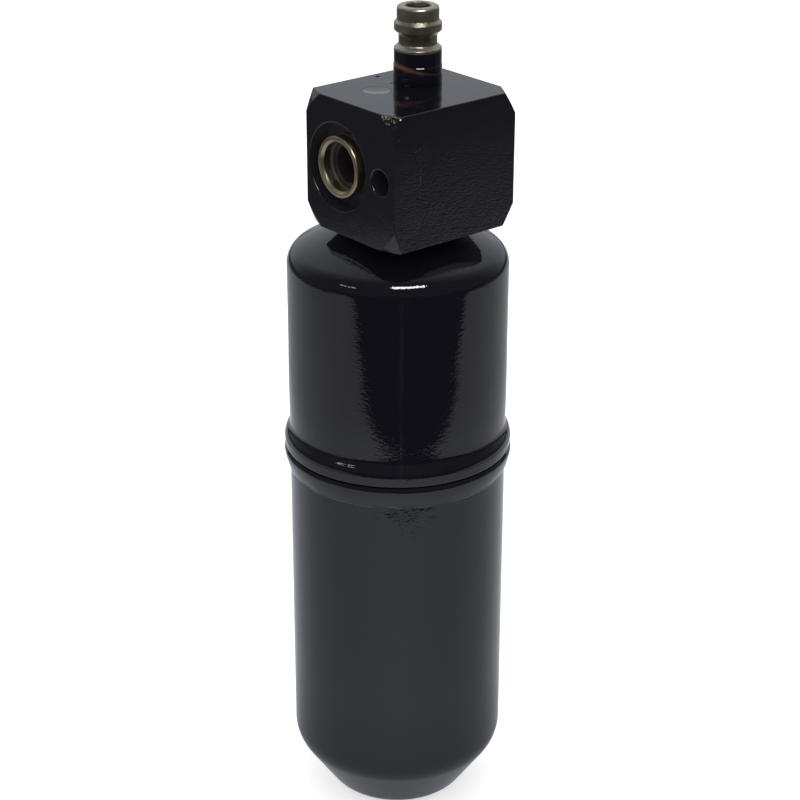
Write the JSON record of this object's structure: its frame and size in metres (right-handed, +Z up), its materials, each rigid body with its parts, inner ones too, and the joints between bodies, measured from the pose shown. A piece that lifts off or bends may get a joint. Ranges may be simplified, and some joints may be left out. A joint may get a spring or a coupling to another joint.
{
  "type": "filter drier",
  "caption": "Steel filter drier can with a square ported head block, a service port and a desiccant pack inside.",
  "frame": {"origin": "centre of the can's flat foot", "axes": "+Z up the can's axis, -X out of the inlet face, -Y out of the block's plain overhanging side"},
  "size_m": [0.0798, 0.0798, 0.2934],
  "materials": {
    "black_paint": "gloss black enamel over steel, run thin at edges",
    "port_steel": "turned steel with an olive passivate, fine tool marks",
    "sleeve_steel": "olive-gold passivated steel, bright at the lip",
    "braze_copper": "copper braze seen through thin black paint",
    "core_brass": "turned brass",
    "pin_steel": "turned steel pin",
    "spring_steel": "drawn spring wire",
    "seal_rubber": "black nitrile rubber",
    "gasket_plastic": "white fluoroplastic",
    "tube_steel": "drawn steel tube",
    "mesh_steel": "woven stainless mesh",
    "plate_steel": "pressed and punched steel sheet",
    "felt": "needled off-white felt",
    "desiccant": "packed bed of round desiccant beads"
  },
  "bodies": {
    "drier": {"lower_shell": "black_paint", "upper_shell": "black_paint", "girth_weld": "black_paint", "head_block": "black_paint", "neck_weld": "black_paint", "sealing_plug": "black_paint", "port_stub": "black_paint", "braze_ring": "braze_copper", "service_port": "port_steel", "inlet_sleeve": "sleeve_steel", "outlet_sleeve": "sleeve_steel", "core_barrel": "core_brass", "core_gasket": "gasket_plastic", "core_spring": "spring_steel", "pickup_tube": "tube_steel", "strainer": "mesh_steel", "lower_plate": "plate_steel", "lower_pad": "felt", "desiccant_bed": "desiccant", "upper_pad": "felt", "upper_plate": "plate_steel", "pack_spring": "spring_steel"},
    "valve": {"valve_pin": "pin_steel", "valve_seal": "seal_rubber"}
  },
  "joints": [
    {"name": "valve_press", "type": "slide", "parent": "drier", "child": "valve", "axis": [0, 0, -1], "range_m": [0, 0.0018], "stiffness_N_per_m": 1200, "springref_m": -0.0015, "deforming": ["core_spring"]}
  ]
}
